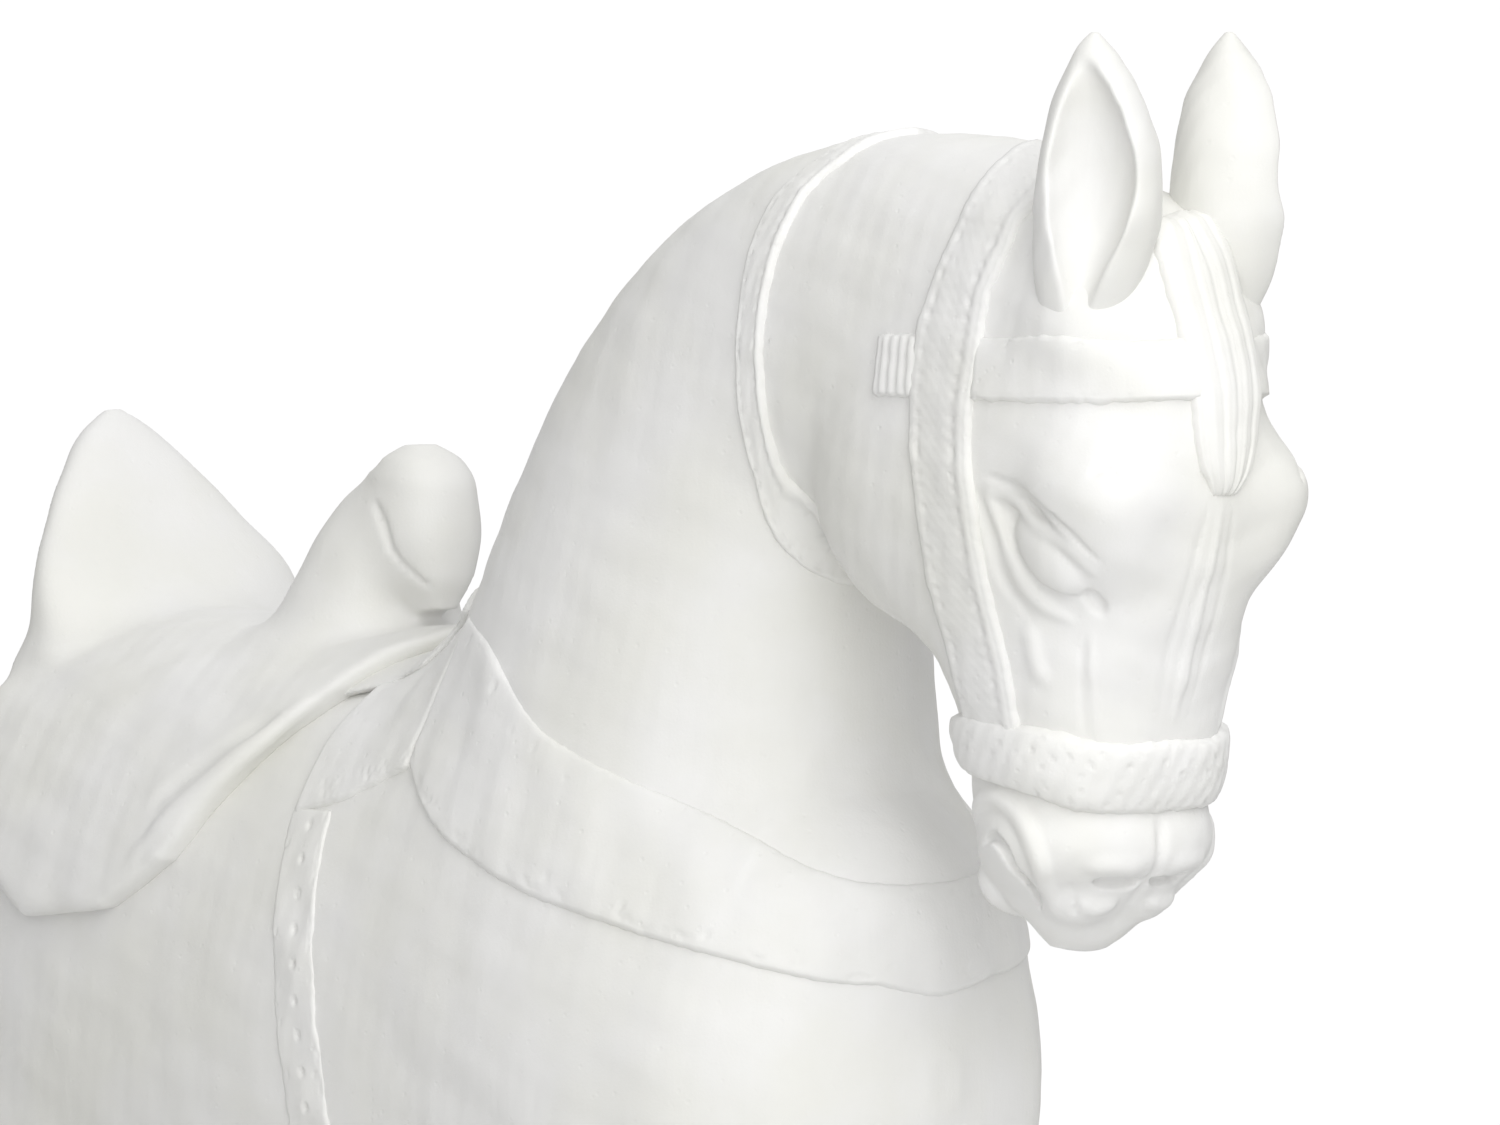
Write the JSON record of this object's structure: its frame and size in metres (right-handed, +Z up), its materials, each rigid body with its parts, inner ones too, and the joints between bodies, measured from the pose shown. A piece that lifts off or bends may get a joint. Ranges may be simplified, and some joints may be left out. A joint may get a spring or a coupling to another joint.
{
  "type": "giant chess knight",
  "caption": "Large white lawn-chess knight: a saddled, bridled horse cast in halves over a steel armature, on a round sand-weighted plinth with a screw filler plug.",
  "frame": {"origin": "centre of the plinth's underside, on the ground", "axes": "+Z up, -Y the way the horse faces, +X the horse's left"},
  "size_m": [0.56, 0.7676, 0.912],
  "materials": {
    "casting_white": "matte hand-worked white paint over laminate",
    "saddle_white": "matte white paint over cast resin",
    "tack_white": "matte white paint over cast resin",
    "forelock_white": "matte white paint over cast resin",
    "plinth_white": "matte white paint over laminate",
    "laminate": "raw glass-fibre tape",
    "steel": "zinc plated",
    "base_plate": "matte sheet",
    "rubber_black": "matte rubber",
    "washer": "matte rubber",
    "sand": "dry sand",
    "plug": "satin moulded plastic",
    "filler_neck": "satin moulded plastic"
  },
  "bodies": {
    "root": {"base_plate": "base_plate", "base_screws": "steel", "body_left": "casting_white", "body_right": "casting_white", "breast_collar": "tack_white", "browband": "tack_white", "cheek_strap_left": "tack_white", "cheek_strap_right": "tack_white", "ear_left": "casting_white", "ear_pins": "steel", "ear_right": "casting_white", "filler_neck": "filler_neck", "foreleg_cross_plate": "steel", "foreleg_left": "casting_white", "foreleg_right": "casting_white", "foreleg_rod_left": "steel", "foreleg_rod_right": "steel", "forelock": "forelock_white", "girth": "tack_white", "head_casting": "casting_white", "hindleg_cross_plate": "steel", "hindleg_left": "casting_white", "hindleg_right": "casting_white", "hindleg_rod_left": "steel", "hindleg_rod_right": "steel", "neck_post": "steel", "neck_strap": "tack_white", "noseband": "tack_white", "plinth": "plinth_white", "rod_nuts": "steel", "rubber_foot": "rubber_black", "saddle_flap_left": "saddle_white", "saddle_flap_right": "saddle_white", "saddle_pad": "saddle_white", "saddle_seat": "saddle_white", "sand_ballast": "sand", "seam_strip": "laminate", "shoulder_strap_left": "tack_white", "shoulder_strap_right": "tack_white", "spine_tube": "steel", "strap_tab_left": "tack_white", "strap_tab_right": "tack_white", "tail": "casting_white", "tail_dowel": "steel"},
    "washer": {"plug_washer": "washer"},
    "plug": {"filler_plug": "plug"}
  },
  "joints": [
    {"name": "plug_travel", "type": "slide", "parent": "root", "child": "washer", "axis": [0, 1, 0], "range_m": [0, 0.0151]},
    {"name": "plug_turn", "type": "hinge", "parent": "washer", "child": "plug", "pos_m": [0, 0.264, 0.041], "axis": [0, 1, 0], "range_deg": [0, 1080]}
  ],
  "couplings": [
    {"joint": "plug_travel", "follows": "plug_turn", "m_per_rad": 0.00079577}
  ]
}
